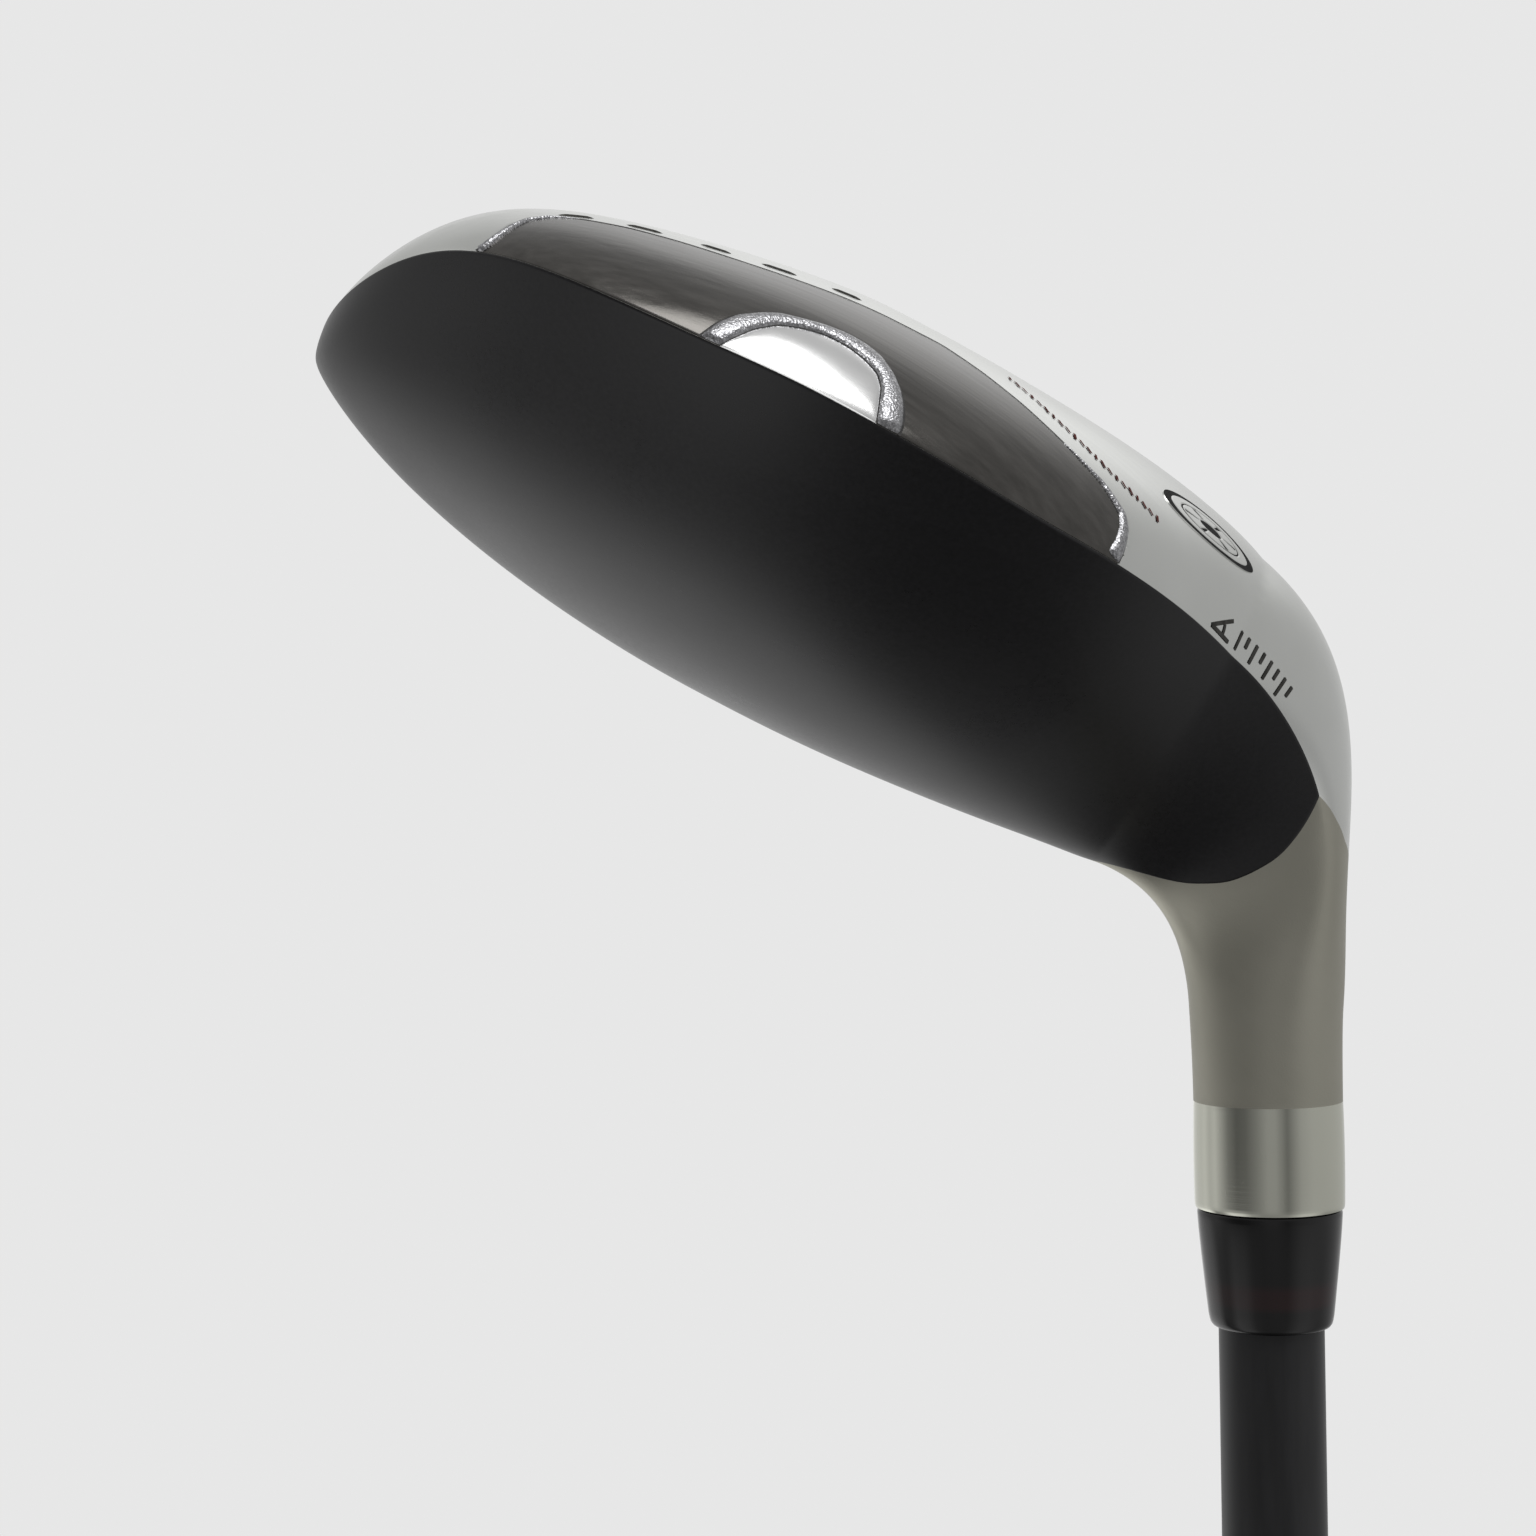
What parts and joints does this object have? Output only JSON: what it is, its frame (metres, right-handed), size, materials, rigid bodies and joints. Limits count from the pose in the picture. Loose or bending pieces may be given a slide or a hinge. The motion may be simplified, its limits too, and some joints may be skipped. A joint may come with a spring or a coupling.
{
  "type": "hybrid golf club",
  "caption": "Right-handed hybrid golf club: hollow steel head with painted crown, lofted grooved face, bonded carbon shaft with ferrule, and tapered rubber grip.",
  "frame": {"origin": "centre of the butt end of the grip, on the shaft axis", "axes": "+Z along the shaft axis from butt to head, -X towards the toe, +Y towards the target"},
  "size_m": [0.0965, 0.0597, 1.0426],
  "materials": {
    "head_body": "cast steel, bead-blasted hosel, polished mouth ring, satin polished sole",
    "face_plate": "satin, fine horizontal brushing, cut score lines",
    "crown_shell": "satin charcoal-black paint",
    "rear_panel": "brushed dark gunmetal plating with a bright stippled border",
    "back_weight": "mirror polish",
    "sole_medallion": "black infill with raised polished rings",
    "ferrule": "gloss black with a faint dark red pinstripe",
    "shaft": "satin black painted carbon fibre",
    "tip_weight": "turned",
    "grip_tape": "paper-backed double-sided tape",
    "grip": "matt moulded rubber with a shallow slip-resistant pattern",
    "grip_cap": "matt moulded rubber"
  },
  "bodies": {
    "root": {"head_body": "head_body", "face_plate": "face_plate", "crown_shell": "crown_shell", "rear_panel": "rear_panel", "back_weight": "back_weight", "sole_medallion": "sole_medallion", "ferrule": "ferrule", "shaft": "shaft", "tip_weight": "tip_weight", "grip_tape": "grip_tape", "grip": "grip", "grip_cap": "grip_cap"}
  },
  "joints": []
}
